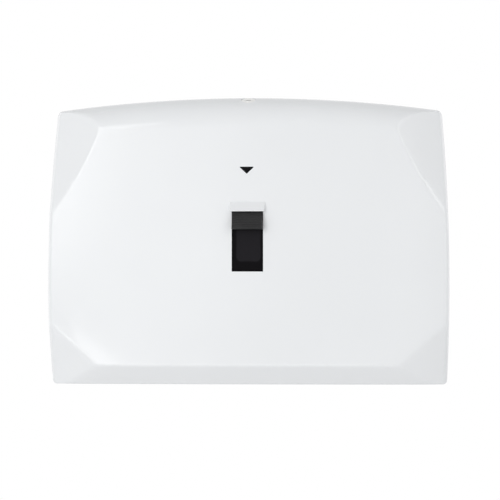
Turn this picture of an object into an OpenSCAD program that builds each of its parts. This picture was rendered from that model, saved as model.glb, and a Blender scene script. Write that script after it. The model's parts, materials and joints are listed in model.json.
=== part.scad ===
// Wall dispenser for folded toilet seat covers, with a press-in and push-down thumb lever.
// The wall is the plane y = 0 and the front faces -Y. The origin is the centre of the wall screws.
// Lengths are in millimetres. "Forward" distances are measured from the wall towards the front.

/* [Case] */
// Overall width at the widest point
case_w = 402.5; // [370:0.5:420]
// Overall height from the bottom edge to the middle of the top edge
case_h = 287.5; // [280:0.5:300]
// Forward distance of the middle of the front face
case_d = 74; // [67:0.5:84]
// Height of the wall screws' centre above the bottom edge
centre_h = 143.7; // [140:0.1:148]
// Height of the widest point above the bottom edge
widest_h = 98.7; // [90:0.1:110]
// Radius of the bowed sides, seen from the front
side_r = 2000; // [1500:10:3000]
// Radius of the arched top edge, seen from the front
top_r = 1455; // [1200:5:2000]
// Radius of the bowed front face, seen from above
bulge_r = 3000; // [2500:50:5000]
// Rounding between the front face and the top
top_round = 28; // [24:0.5:32]
// Rounding between the front face and the sides
side_round = 4; // [3.5:0.1:6]
// Rounding of the upper corners, seen from the front
upper_corner_r = 5.5; // [4:0.1:8]
// Rounding of the lower corners, seen from the front
lower_corner_r = 4; // [2:0.1:4]
// Height of the bevelled lip at the bottom of the front
bevel_h = 18.7; // [15:0.1:22]
// Distance that the lip runs back over that height
bevel_d = 15.9; // [12:0.1:18]
// Thickness of the cover's wall
wall = 2.5; // [2:0.1:3]

/* [Corner facets] */
// Middle of the upper facets' inner edge, from the middle line
upper_facet_x = 161.1; // [155:0.1:170]
// Middle of the upper facets' inner edge, below the top of the case
upper_facet_drop = 60.6; // [54:0.1:66]
// Radius of that edge, because the upper facets are shallow dishes
upper_facet_r = 325; // [280:5:500]
// Slope of the upper facets against the front face
upper_facet_tilt = 26; // [20:0.5:27]
// Direction in which the upper facets fall, above sideways
upper_facet_turn = 24; // [18:0.5:30]
// Inner corner of the lower facets, from the middle line
lower_facet_x = 151.5; // [140:0.1:160]
// Slope of the lower facets against the front face
lower_facet_tilt = 25.8; // [18:0.5:30]
// Direction in which the lower facets fall, below sideways
lower_facet_turn = 43.4; // [30:0.2:50]

/* [Back tray] */
// Thickness of the tray's floor
tray_t = 2.5; // [2:0.1:3]
// Thickness of the tray's rim
rim_t = 2.2; // [1.6:0.1:3]
// Forward height of the tray's rim
rim_d = 22; // [16:0.5:26]
// Space between the tray's rim and the cover around it
case_gap = 1; // [0.6:0.1:1.4]
// Space between the cover's back edge and the wall
wall_gap = 2; // [1:0.1:3]
// Sideways distance between the wall screws
screw_w = 304.8; // [280:0.1:320]
// Vertical distance between the wall screws
screw_h = 152.4; // [140:0.1:160]
// Diameter of the wall screw holes
screw_hole_d = 5.5; // [4.5:0.1:6.5]
// Height of the paper shelf above the bottom edge
shelf_h = 21.7; // [20:0.1:24]
// Forward reach of the shelf
shelf_d = 44; // [40:0.5:46]
// Forward reach of the chute's lower end
chute_d = 33; // [28:0.5:36]
// Thickness of the shelf and its gussets
shelf_t = 2.5; // [2:0.1:3]

/* [Cover hinge] */
// Forward distance of the hinge axis
hinge_d = 10; // [9.5:0.1:12]
// Height of the hinge axis above the bottom edge
hinge_h = 7.7; // [7:0.1:8.5]
// Diameter of the hinge pins
pin_d = 4; // [3:0.1:5]
// Diameter of the hinge ears and lugs
ear_d = 12; // [10:0.1:13]
// Width of the hinge lugs on the tray
lug_w = 11.5; // [8:0.1:14]
// Width of the hinge ears on the cover
ear_w = 12; // [9:0.1:14]

/* [Lever] */
// Width of the lever slot
slot_w = 31.4; // [28:0.1:34]
// Height of the slot's top edge above the wall screws' centre
slot_top = 29.5; // [20:0.5:40]
// Height of the hood over the lever
hood_h = 9.6; // [7:0.1:12]
// Distance that the hood's lip stands out of the face
hood_out = 6; // [4:0.1:8]
// Distance that the hood overlaps the slot at each side
hood_side = 1.6; // [1:0.1:3]
// Height of the lever's thumb piece
lever_h = 17.3; // [15:0.1:19]
// Distance that the lever's lower edge stands out of the face
lever_out = 10; // [8:0.1:12]
// Distance that the lever's upper edge stands out of the face
lever_top_out = 2; // [1:0.1:4]
// Depth of the thumb piece behind the face
lever_in = 6; // [5:0.1:6.5]
// Number of ribs on the thumb piece
lever_ribs = 8; // [5:1:10]
// Downward travel of the lever
slide_travel = 40; // [36:0.5:40]
// Inward travel of the lever
press_travel = 8; // [6:0.1:8]
// Diameter of the lever's stem
stem_d = 8; // [7:0.1:9]

/* [Slide] */
// Diameter of the guide rods
rod_d = 4; // [3:0.1:5]
// Distance of the guide rods from the middle line
rod_x = 22; // [21:0.1:24]
// Thickness of the apron that closes the slot
apron_t = 2; // [1.5:0.1:2.5]
// Depth of the slide frame
frame_d = 10.5; // [9.5:0.1:12]
// Width of the slide frame's rails
rail_w = 4; // [3:0.1:6]
// Height of the slide frame's end blocks
end_h = 8; // [7:0.1:12]
// Thickness of the rubber grip pad
pad_t = 4.5; // [4:0.1:5.5]
// Width of the rubber grip pad
pad_w = 26; // [20:0.5:32]
// Height of the rubber grip pad
pad_h = 20; // [16:0.5:24]
// Distance between the grip pad and the paper
pad_gap = 1; // [0.8:0.1:2]

/* [Pressure plate] */
// Height of the pressure plate
plate_h = 124; // [110:1:130]
// Thickness of the pressure plate's sheet
plate_t = 1.5; // [1.2:0.1:2]
// Depth of the plate's folded edges
fold_d = 8; // [6:0.5:9]
// Cut-off at the corners of the pressure plate
plate_corner = 12; // [6:0.5:14]
// Diameter of the guide posts
post_d = 5; // [4:0.1:5.4]
// Distance of the guide posts from the case's widest point
post_inset = 14.25; // [14:0.05:15]
// Height of the guide posts above and below the wall screws' centre
post_z = 45; // [35:1:52]

/* [Lock] */
// Lean of the lock's axis towards the front
lock_tilt = 22; // [16:1:30]
// Diameter of the lock's rim
lock_rim_d = 14.5; // [13:0.1:15]
// Diameter of the lock's barrel
barrel_d = 12; // [11:0.1:12.4]
// Length of the lock's barrel
barrel_l = 18; // [16:0.5:20]
// Diameter of the key plug
plug_d = 8; // [7:0.1:9]
// Reach of the lock cam
cam_l = 26; // [24:0.5:28]
// Width of the lock cam
cam_w = 10; // [8:0.5:10]
// Thickness of the lock cam
cam_t = 2; // [1.5:0.1:3]

/* [Springs] */
// Coils of each plate spring
plate_coils = 5.5; // [4:0.5:5.5]
// Wire of the plate springs
plate_wire = 1.1; // [0.8:0.1:1.1]
// Coils of each return spring
return_coils = 14; // [8:1:16]
// Wire of the return springs
return_wire = 0.8; // [0.6:0.1:1]
// Coils of the press spring
press_coils = 3.5; // [2.5:0.5:3.5]
// Wire of the press spring
press_wire = 1; // [0.7:0.1:1]

/* [Hidden] */
// Clearances: running pins and bores, pieces that slide past each other, loose covers of moving pieces
run_gap = 0.05;
slide_gap = 0.5;
seat_gap = 0.3;
// Overreach of cutting shapes, of shallow grooves and of the shapes that form the case
over = 5;
skim = 0.1;
far = 40;
// Segments of a full circle, for small and for very large radii
fine = 48;
large = 1440;

// Heights of the case
bottom_z = -centre_h;
top_z = bottom_z + case_h;
widest_z = bottom_z + widest_h;
crease_z = bottom_z + bevel_h;
half_w = case_w / 2;

// Forward height of the bowed face at a distance from the middle line
function face_d(x) = case_d - bulge_r + sqrt(bulge_r * bulge_r - x * x);

// Half width of the case at a height
function half_width(z) = half_w - side_r + sqrt(side_r * side_r - (z - widest_z) * (z - widest_z));

// Point at given distances from two centres, on the left of the way from the first to the second
function meeting(a, r_a, b, r_b) =
    let (
        way = (b - a) / norm(b - a),
        along = (r_a * r_a - r_b * r_b + norm(b - a) * norm(b - a)) / (2 * norm(b - a))
    )
    a + along * way + sqrt(r_a * r_a - along * along) * [-way[1], way[0]];

// Middles of the right side's and the top's arcs, and of the rounded corners between them
side_mid = [half_w - side_r, widest_z];
top_mid = [0, top_z - top_r];
upper_corner = meeting(side_mid, side_r - upper_corner_r, top_mid, top_r - upper_corner_r);
lower_corner_z = bottom_z + lower_corner_r;
lower_corner_rise = lower_corner_z - widest_z;
lower_corner = [
    side_mid[0] + sqrt(pow(side_r - lower_corner_r, 2) - lower_corner_rise * lower_corner_rise),
    lower_corner_z
];

// Top rounding: it follows an arch that falls and recedes at once, so its axis leans back
sweep_tilt = atan(top_r / bulge_r);
sweep_r = top_r * cos(sweep_tilt);
sweep_angle = 2 * asin((half_w + far) / (sweep_r - case_h - case_d));
side_angle = 2 * asin(case_h / (side_r - case_w));
bulge_angle = 2 * asin((half_w + far) / (bulge_r - case_d - far));

// Tray
tray_inset = wall + case_gap;
tray_rise = 2;
tray_low_z = bottom_z + tray_rise;
shelf_z = bottom_z + shelf_h;
hinge_z = bottom_z + hinge_h;
ear_end = half_width(hinge_z) - wall / 2;
ear_start = half_width(hinge_z) - wall - ear_w;
lug_start = ear_start - slide_gap - lug_w;
shelf_lap = 0.3;
shelf_half = lug_start + shelf_lap;
chute_knee = 3;
notch_gap = 4;
notch_z = hinge_z + ear_d / 2 + notch_gap;
// Reach of lugs, bosses and gussets into the tray's floor
sink = 1;
heel_gap = 1;
pin_gap = 0.6;

// Lever and slide, from the face backwards
face_in = case_d - wall;
apron_front = face_in - slide_gap;
apron_back = apron_front - apron_t;
frame_front = apron_back - slide_gap;
frame_back = frame_front - frame_d;
rod_fwd = (frame_front + frame_back) / 2;
lever_gap = 0.4;
hood_gap = 0.7;
hood_lip = 1;
slot_end = 2;
slot_h = hood_gap + lever_h + slide_travel + slot_end;
slot_low = slot_top - slot_h;
lever_w = slot_w - 2 * lever_gap;
lever_top = slot_top - hood_gap;
lever_low = lever_top - lever_h;
lever_z = (lever_low + lever_top) / 2;
lever_back = case_d - lever_in;
lever_lip = 1.2;
rib_depth = 0.6;
rib_share = 0.28;
floor_t = 2.5;
floor_front = lever_back - press_travel - slide_gap;
floor_back = floor_front - floor_t;
clip_t = 1;
clip_gap = 0.2;
clip_out = 2;
clip_mouth = 0.7;
stem_groove = 0.8;
stem_shoulder = 1.3;
clip_front = floor_back - clip_gap;
pad_front = clip_front - clip_t - stem_shoulder;
pad_back = pad_front - pad_t;
pad_ribs = 5;
pad_groove = 0.9;
pocket_wall = 2.8;
pocket_end = 4;
block_w = lever_w + 2 * lever_gap + 2 * pocket_wall;
block_top = lever_top + lever_gap + pocket_end;
block_low = lever_low - lever_gap - pocket_end;
bush_wall = 1.5;
bush_l = 7;
bush_d = rod_d + 2 * bush_wall;
rod_clear = 0.5;
lug_wall = 1.5;
lug_out = rod_x + bush_d / 2 + lug_wall;
apron_lap = 2;
apron_top = slot_top + slide_travel + apron_lap;
apron_low = slot_low - apron_lap;
rail_in = lug_out + 2 * slide_gap;
rail_out = rail_in + rail_w;
spring_room = 20;
end_top = block_top + seat_gap;
end_low = block_low - slide_travel - spring_room;
rod_cap = 1;
rod_ends = [end_low - end_h + rod_cap, end_top + end_h - rod_cap];
frame_ear = 11;
frame_ear_t = 3;
frame_boss_d = 8;
frame_screw_x = rail_out + frame_ear / 2;
frame_screw_z = [end_top + end_h / 2, end_low - end_h / 2];
frame_boss_end = face_d(frame_screw_x) - wall;
screw_d = 3;
screw_clear = 0.2;
screw_spare = 0.5;
spring_seat = 5;
spring_seat_wide = 3;
spring_seat_d = stem_d + 2 * spring_seat_wide;
spring_seat_front = lever_back + spring_seat;

// Paper stands between the shelf and the cover's stop ribs
paper_front = pad_back - pad_gap;
stop_rib_x = [60, 120];
stop_rib_t = 2;
stop_rib_ends = [13, 16];
stop_rib_z = [crease_z + stop_rib_ends[0], top_z - top_round - stop_rib_ends[1]];

// Pressure plate, drawn at its front stop
plate_front = pad_back - press_travel - pad_gap;
plate_back = plate_front - plate_t;
plate_bush_wall = 1.5;
plate_bush_rim = 2;
plate_bush_rim_t = 1;
plate_bush_l = 7;
plate_bush_d = post_d + 2 * plate_bush_wall;
post_x = half_w - post_inset;
post_boss = 3.2;
post_boss_h = 1.5;
post_seat = tray_t + post_boss_h;
post_foot = 1;
post_groove = 0.6;
post_tip = 1.6;
post_clip_back = plate_front + plate_bush_rim_t + seat_gap;
post_front = post_clip_back + clip_t + post_tip;
plate_spring_gap = 0.65;
plate_spring_r = plate_bush_d / 2 + plate_spring_gap + plate_wire / 2;
plate_half = post_x - plate_bush_d / 2 - plate_bush_rim;
fold_half = plate_half - plate_corner;
plate_ear_lip = 0.5;
plate_ear_end = post_x + plate_bush_d / 2 + plate_ear_lip;
plate_ear_h = 16;

// Lock, in its own axes: its face is at zero and its barrel points down
lock_d = case_d - top_round + top_round * sin(lock_tilt);
lock_z = top_z - top_round + top_round * cos(lock_tilt);
rim_sink = 0.8;
rim_thick = 1.2;
rim_gap = 0.1;
lock_boss_d = 20;
lock_boss_low = -7;
lock_boss_high = -2.4;
nut_t = 3;
nut_d = 19;
plug_proud = 0.2;
plug_tail = 0.4;
cam_top = -barrel_l - plug_tail;
cam_bottom = cam_top - cam_t;
stub_d = 5;
key_w = 1.4;
key_l = 5;
key_deep = 3;
cam_screw_l = 3.5;
cam_head_d = 8;
cam_head_t = 2;

// Strike bracket: its tab stands just in front of the turned cam
cam_mid = (cam_top + cam_bottom) / 2;
cam_fwd = lock_d + cam_mid * sin(lock_tilt);
cam_z = lock_z + cam_mid * cos(lock_tilt);
strike_t = 1.5;
tab_back = cam_fwd + cam_w / 2 * cos(lock_tilt) + cam_t / 2 * sin(lock_tilt) + slide_gap;
tab_w = 14;
tab_x = [lock_boss_d / 2 + sink, lock_boss_d / 2 + sink + tab_w];
tab_over = 2;
arm_drop = 12;
arm_z = cam_z - arm_drop;
strike_pad_h = 6.5;
strike_pad_d = tray_t + strike_pad_h;
strike_foot_x = [3, 33];
strike_foot_h = 16;
strike_foot_z = [arm_z + strike_t - strike_foot_h, arm_z + strike_t];
strike_screw_x = [8, 28];
strike_screw_z = (strike_foot_z[0] + strike_foot_z[1]) / 2;

// Screw heads and their cross slots
head_d = 5.8;
head_t = 2;
cross_l = 3.8;
cross_w = 0.8;
cross_deep = 0.9;

// Springs: rings of points in a coil, sides of the wire, and the lengths that they fill
coil_rings = 8;
wire_sides = 6;
return_spring_gap = 0.9;
plate_spring_l = plate_back - post_seat - 2 * seat_gap;
return_spring_r = rod_d / 2 + return_spring_gap + return_wire / 2;
return_spring_l = block_low - end_low - 2 * seat_gap;
press_spring_r = (stem_d + spring_seat_d) / 4;
press_spring_l = spring_seat_front - floor_front - 2 * seat_gap;
echo(plate_spring_own_gap = spring_gap(plate_spring_r, plate_spring_l, plate_coils, plate_wire));
echo(return_spring_own_gap = spring_gap(return_spring_r, return_spring_l, return_coils, return_wire));
echo(press_spring_own_gap = spring_gap(press_spring_r, press_spring_l, press_coils, press_wire));

// Box between two limits sideways, forward and upward
module block(x, d, z) {
    translate([x[0], -d[1], z[0]])
        cube([x[1] - x[0], d[1] - d[0], z[1] - z[0]]);
}

// Round bar that points forward
module forward_bar(x, z, d, r) {
    translate([x, -d[0], z])
        rotate([90, 0, 0])
            cylinder(h = d[1] - d[0], r = r, $fn = fine);
}

// Round bar that points up
module upright_bar(x, d, z, r) {
    translate([x, -d, z[0]])
        cylinder(h = z[1] - z[0], r = r, $fn = fine);
}

// Round bar that points to the right
module cross_bar(x, d, z, r) {
    translate([x[0], -d, z])
        rotate([0, 90, 0])
            cylinder(h = x[1] - x[0], r = r, $fn = fine);
}

// Prism along X, from an outline of forward distance and height
module side_prism(x, points) {
    translate([x[0], 0, 0])
        rotate([90, 0, 90])
            linear_extrude(height = x[1] - x[0])
                polygon([for (p = points) [-p[0], p[1]]]);
}

// The same shape on both sides of the middle line
module both_sides() {
    children();
    mirror([1, 0, 0]) children();
}

// Compression spring: one open helix of wire along +Z from the origin
function helix_point(r, rise, turns, t) =
    [r * cos(360 * turns * t), r * sin(360 * turns * t), rise * t];
function helix_ring(r, rise, turns, t, wire, sides) =
    let (
        a = 360 * turns * t,
        out = [cos(a), sin(a), 0],
        run = [-2 * PI * r * turns * sin(a), 2 * PI * r * turns * cos(a), rise],
        up = cross(out, run) / norm(run)
    )
    [for (k = [0 : sides - 1])
        helix_point(r, rise, turns, t) + wire / 2 * (cos(360 * k / sides) * out + sin(360 * k / sides) * up)];

module spring(r, length, turns, wire) {
    steps = turns * coil_rings;
    rise = length - wire;
    points = [for (i = [0 : steps])
        each helix_ring(r, rise, turns, i / steps, wire, wire_sides)];
    skin = [for (i = [0 : steps - 1], k = [0 : wire_sides - 1])
        let (
            a = i * wire_sides + k,
            b = i * wire_sides + (k + 1) % wire_sides
        )
        each [[a, b, a + wire_sides], [b, b + wire_sides, a + wire_sides]]];
    first_end = [for (k = [1 : wire_sides - 2]) [0, k + 1, k]];
    last = steps * wire_sides;
    last_end = [for (k = [1 : wire_sides - 2]) [last, last + k, last + k + 1]];
    translate([0, 0, wire / 2])
        polyhedron(points, concat(skin, first_end, last_end));
}

// Least gap between a spring's coils, measured on points half a turn or more apart
function spring_gap(r, length, turns, wire) =
    let (
        steps = turns * coil_rings,
        line = [for (i = [0 : steps]) helix_point(r, length - wire, turns, i / steps)]
    )
    min([for (i = [0 : steps - coil_rings / 2], j = [i + coil_rings / 2 : steps])
        norm(line[i] - line[j])]) - wire;

// Profile across the top rounding, from the corner of face and top, moved in by an inset
module top_profile(inset) {
    low = -(case_h + far);
    back = -(case_d + far);
    translate([low, back]) square([-low - top_round, far - back]);
    translate([-top_round - 1, back]) square([top_round + 1 - inset, -back - top_round]);
    translate([-top_round, -top_round]) circle(r = top_round - inset, $fn = fine);
}

// Everything under the arched and rounded top
module under_top(inset) {
    translate([0, -(case_d - sweep_r * sin(sweep_tilt)), top_z - sweep_r * cos(sweep_tilt)])
        rotate([90 + sweep_tilt, 0, 0])
            rotate([0, 0, 90 - sweep_angle / 2])
                rotate_extrude(angle = sweep_angle, $fn = large)
                    translate([sweep_r, 0])
                        rotate(-sweep_tilt)
                            top_profile(inset);
}

// Everything inside the bowed right side and its rounded front edge
module inside_side(inset) {
    edge_d = face_d(half_w);
    translate([half_w - side_r, 0, widest_z])
        rotate([90, 0, 0])
            rotate([0, 0, -side_angle / 2])
                rotate_extrude(angle = side_angle, $fn = large)
                    translate([side_r, 0]) {
                        translate([-case_w - far, -over])
                            square([case_w + far - side_round, case_d + far]);
                        translate([-side_round - 1, -over])
                            square([side_round + 1 - inset, edge_d - side_round + over]);
                        translate([-side_round, edge_d - side_round])
                            circle(r = side_round - inset, $fn = fine);
                    }
}

// Everything behind the bowed face and its bevelled lip
module behind_face(inset) {
    lip_l = norm([bevel_d, bevel_h]);
    lip_in = inset * lip_l / bevel_h;
    knee = inset * (lip_l - bevel_h) / bevel_d;
    reach = 2 * bevel_h;
    face_r = bulge_r - inset;
    translate([0, bulge_r - case_d, crease_z])
        rotate([0, 0, -90 - bulge_angle / 2])
            rotate_extrude(angle = bulge_angle, $fn = large)
                polygon([
                    [bulge_r - case_d - far, -reach],
                    [bulge_r - bevel_d / bevel_h * reach - lip_in, -reach],
                    [face_r, knee],
                    [face_r, case_h],
                    [bulge_r - case_d - far, case_h]
                ]);
}

// Space outside a rounded corner on the right between two directions, seen from the front
module corner_cut(middle, r, first, second) {
    reach = 3 * r;
    difference() {
        polygon([
            middle,
            middle + reach * first,
            middle + reach * (first + second),
            middle + reach * second
        ]);
        translate(middle) circle(r = r, $fn = fine);
    }
}

// The same at the upper corner, moved in by an inset
module upper_corner_cut(inset) {
    from_side = upper_corner - side_mid;
    from_top = upper_corner - top_mid;
    if (inset < upper_corner_r)
        corner_cut(upper_corner, upper_corner_r - inset, from_side / norm(from_side), from_top / norm(from_top));
}

// The same at the lower corner
module lower_corner_cut() {
    from_side = lower_corner - side_mid;
    corner_cut(lower_corner, lower_corner_r, from_side / norm(from_side), [0, -1]);
}

// Flat shape seen from the front, through the whole depth of the case
module through_case() {
    translate([0, over, 0])
        rotate([90, 0, 0])
            linear_extrude(height = case_d + 2 * over)
                children();
}

// Space in front of a dished corner facet on the right: a wide cone that opens forward
module dish_cut(x, z, r, tilt, turn, inset) {
    edge_d = face_d(x) - inset / cos(tilt);
    front = case_d + over;
    translate([x + r * cos(turn), 0, z + r * sin(turn)])
        rotate([90, 0, 0])
            cylinder(h = front, r1 = r - edge_d / tan(tilt), r2 = r + (front - edge_d) / tan(tilt), $fn = large);
}

// Half space in front of a flat corner facet on the right
module facet_cut(x, z, tilt, turn, inset) {
    span = 300;
    translate([x, -face_d(x), z])
        rotate([0, -turn, 0])
            rotate([0, 0, tilt])
                translate([-span, -span, -span])
                    cube([2 * span, span + inset, 2 * span]);
}

// Solid form of the case between a lower and a rear limit, moved in by an inset
module case_form(inset, low, back) {
    difference() {
        intersection() {
            behind_face(inset);
            under_top(inset);
            inside_side(inset);
            mirror([1, 0, 0]) inside_side(inset);
            block([-case_w, case_w], [back, case_d + over], [low, top_z + over]);
        }
        both_sides() {
            dish_cut(upper_facet_x, top_z - upper_facet_drop, upper_facet_r, upper_facet_tilt, upper_facet_turn,
                inset);
            facet_cut(lower_facet_x, crease_z, lower_facet_tilt, -lower_facet_turn, inset);
            through_case() upper_corner_cut(inset);
        }
    }
}

// Flat outline of the case, moved in by an inset and cut off at a height
module case_outline(inset, low) {
    difference() {
        intersection() {
            translate(side_mid) circle(r = side_r - inset, $fn = large);
            mirror([1, 0]) translate(side_mid) circle(r = side_r - inset, $fn = large);
            translate(top_mid) circle(r = top_r - inset, $fn = large);
            translate([-case_w, low]) square([2 * case_w, case_h + far]);
        }
        upper_corner_cut(inset);
        mirror([1, 0]) upper_corner_cut(inset);
    }
}

// Slab of that outline between two forward distances
module outline_slab(inset, low, d) {
    translate([0, -d[0], 0])
        rotate([90, 0, 0])
            linear_extrude(height = d[1] - d[0])
                case_outline(inset, low);
}

// Places a shape at the key lock, with +Z out of its face
module at_lock() {
    translate([0, -lock_d, lock_z])
        rotate([lock_tilt, 0, 0])
            children();
}

// Cylinder on the lock's axis between two heights
module lock_disc(low, high, r, sides = fine) {
    translate([0, 0, low]) cylinder(h = high - low, r = r, $fn = sides);
}

// Spring clip: a ring with an open side, on a shaft that points forward
module ring_clip(x, z, d, r_in, r_out) {
    difference() {
        forward_bar(x, z, d, r_out);
        forward_bar(x, z, [d[0] - over, d[1] + over], r_in);
        block([x - r_in * clip_mouth, x + r_in * clip_mouth], [d[0] - over, d[1] + over],
            [z - r_out - over, z]);
    }
}

// Pan-head screw that points forward, its head at the back
module forward_screw(x, z, d) {
    difference() {
        union() {
            forward_bar(x, z, d, screw_d / 2);
            forward_bar(x, z, [d[0] - head_t, d[0]], head_d / 2);
        }
        for (size = [[cross_l, cross_w], [cross_w, cross_l]])
            block([x - size[0] / 2, x + size[0] / 2], [d[0] - head_t - over, d[0] - head_t + cross_deep],
                [z - size[1] / 2, z + size[1] / 2]);
    }
}

module back_tray() {
    color("white")
    difference() {
        union() {
            difference() {
                outline_slab(tray_inset, tray_low_z, [0, rim_d]);
                outline_slab(tray_inset + rim_t, tray_low_z - over, [tray_t, rim_d + over]);
                both_sides()
                    block([lug_start, half_w], [tray_t, rim_d + over], [bottom_z - over, notch_z]);
            }
            side_prism([-shelf_half, shelf_half], [
                [tray_t - sink, shelf_z],
                [shelf_d, shelf_z],
                [chute_d, tray_low_z],
                [chute_d - shelf_t, tray_low_z],
                [shelf_d - chute_knee, shelf_z - shelf_t],
                [tray_t - sink, shelf_z - shelf_t]
            ]);
            for (x = [-1, -0.5, 0, 0.5, 1] * (shelf_half - shelf_t))
                side_prism([x - shelf_t / 2, x + shelf_t / 2], [
                    [tray_t - sink, shelf_z - sink],
                    [shelf_d - shelf_t, shelf_z - sink],
                    [chute_d - sink, tray_low_z],
                    [tray_t - sink, tray_low_z]
                ]);
            both_sides() {
                cross_bar([lug_start, lug_start + lug_w], hinge_d, hinge_z, ear_d / 2);
                block([lug_start, lug_start + lug_w], [tray_t - sink, hinge_d],
                    [tray_low_z, hinge_z + ear_d / 2]);
                for (z = [-post_z, post_z])
                    forward_bar(post_x, z, [tray_t - sink, post_seat], post_d / 2 + post_boss);
            }
            block(strike_foot_x, [tray_t - sink, strike_pad_d], strike_foot_z);
        }
        for (x = [-screw_w / 2, screw_w / 2], z = [-screw_h / 2, screw_h / 2])
            forward_bar(x, z, [-over, tray_t + over], screw_hole_d / 2);
        both_sides() {
            cross_bar([lug_start + sink, lug_start + lug_w + over], hinge_d, hinge_z, pin_d / 2);
            for (z = [-post_z, post_z])
                forward_bar(post_x, z, [post_foot, post_seat + over], post_d / 2);
        }
        for (x = strike_screw_x)
            forward_bar(x, strike_screw_z, [post_foot, strike_pad_d + over], screw_d / 2);
    }
}

module hinge_pins() {
    color("silver")
    both_sides()
        cross_bar([lug_start + sink, ear_end - wall / 2 - pin_gap], hinge_d, hinge_z, pin_d / 2);
}

module guide_posts() {
    color("silver")
    both_sides()
        for (z = [-post_z, post_z])
            difference() {
                forward_bar(post_x, z, [post_foot, post_front], post_d / 2);
                difference() {
                    forward_bar(post_x, z, [post_clip_back, post_clip_back + clip_t], post_d);
                    forward_bar(post_x, z, [0, post_front], post_d / 2 - post_groove);
                }
            }
}

module post_clips() {
    color("dimgray")
    both_sides()
        for (z = [-post_z, post_z])
            ring_clip(post_x, z, [post_clip_back, post_clip_back + clip_t], post_d / 2 - post_groove,
                post_d / 2 + clip_out);
}

module lock_strike() {
    color("silver")
    difference() {
        union() {
            block(tab_x, [strike_pad_d, tab_back + strike_t], [arm_z, arm_z + strike_t]);
            block(tab_x, [tab_back, tab_back + strike_t], [arm_z, cam_z + tab_over]);
            block(strike_foot_x, [strike_pad_d, strike_pad_d + strike_t], strike_foot_z);
        }
        for (x = strike_screw_x)
            forward_bar(x, strike_screw_z, [strike_pad_d - over, strike_pad_d + strike_t + over],
                screw_d / 2 + screw_clear);
    }
}

module strike_screws() {
    color("silver")
    for (x = strike_screw_x)
        translate([x, -(strike_pad_d + strike_t), strike_screw_z])
            rotate([0, 0, 180])
                forward_screw(0, 0, [0, strike_pad_d + strike_t - post_foot - screw_spare]);
}

module pressure_plate() {
    color("lightgray")
    difference() {
        union() {
            translate([0, -plate_back, 0])
                rotate([90, 0, 0])
                    linear_extrude(height = plate_t)
                        polygon([
                            [-fold_half, -plate_h / 2],
                            [fold_half, -plate_h / 2],
                            [plate_half, plate_corner - plate_h / 2],
                            [plate_half, plate_h / 2 - plate_corner],
                            [fold_half, plate_h / 2],
                            [-fold_half, plate_h / 2],
                            [-plate_half, plate_h / 2 - plate_corner],
                            [-plate_half, plate_corner - plate_h / 2]
                        ]);
            for (z = [-plate_h / 2, plate_h / 2 - plate_t])
                block([-fold_half, fold_half], [plate_front - fold_d, plate_front], [z, z + plate_t]);
            both_sides()
                for (z = [-post_z, post_z])
                    block([fold_half, plate_ear_end], [plate_back, plate_front],
                        [z - plate_ear_h / 2, z + plate_ear_h / 2]);
        }
        both_sides()
            for (z = [-post_z, post_z])
                forward_bar(post_x, z, [plate_back - over, plate_front + over], plate_bush_d / 2);
    }
}

module plate_bushes() {
    color("ivory")
    both_sides()
        for (z = [-post_z, post_z])
            difference() {
                union() {
                    forward_bar(post_x, z, [plate_front - plate_bush_l, plate_front], plate_bush_d / 2);
                    forward_bar(post_x, z, [plate_front, plate_front + plate_bush_rim_t],
                        plate_bush_d / 2 + plate_bush_rim);
                }
                forward_bar(post_x, z, [0, case_d], post_d / 2 + run_gap);
            }
}

module plate_springs() {
    color("silver")
    both_sides()
        for (z = [-post_z, post_z])
            translate([post_x, -(post_seat + seat_gap), z])
                rotate([90, 0, 0])
                    spring(plate_spring_r, plate_spring_l, plate_coils, plate_wire);
}

module front_cover() {
    color("white")
    difference() {
        union() {
            difference() {
                case_form(0, bottom_z, wall_gap);
                case_form(wall, bottom_z - over, -over);
                both_sides() {
                    difference() {
                        block([ear_start, half_w + over], [-over, hinge_d], [bottom_z - over, hinge_z]);
                        cross_bar([0, half_w + 2 * over], hinge_d, hinge_z, hinge_d - heel_gap);
                    }
                    through_case() lower_corner_cut();
                }
            }
            both_sides() {
                cross_bar([ear_start, ear_end], hinge_d, hinge_z, ear_d / 2);
                for (x = stop_rib_x)
                    block([x - stop_rib_t / 2, x + stop_rib_t / 2], [paper_front, face_d(x) - wall / 2],
                        stop_rib_z);
                for (z = frame_screw_z)
                    forward_bar(frame_screw_x, z, [frame_back + frame_ear_t, frame_boss_end + wall / 2],
                        frame_boss_d / 2);
            }
            side_prism([-slot_w / 2 - hood_side, slot_w / 2 + hood_side], [
                [case_d - wall / 2, slot_top],
                [case_d + hood_out, slot_top],
                [case_d + hood_out, slot_top + hood_lip],
                [case_d, slot_top + hood_h],
                [case_d - wall / 2, slot_top + hood_h]
            ]);
            at_lock() lock_disc(lock_boss_low, lock_boss_high, lock_boss_d / 2);
        }
        block([-slot_w / 2, slot_w / 2], [face_in - over, case_d + over], [slot_low, slot_top]);
        both_sides() {
            cross_bar([ear_start - over, ear_end - wall / 2], hinge_d, hinge_z, pin_d / 2 + run_gap);
            for (z = frame_screw_z)
                forward_bar(frame_screw_x, z, [frame_back, frame_boss_end], screw_d / 2 + run_gap);
        }
        at_lock() {
            lock_disc(-rim_sink - rim_thick, over, lock_rim_d / 2 + rim_gap);
            lock_disc(lock_boss_low - over, over, barrel_d / 2 + run_gap);
        }
    }
}

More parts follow.
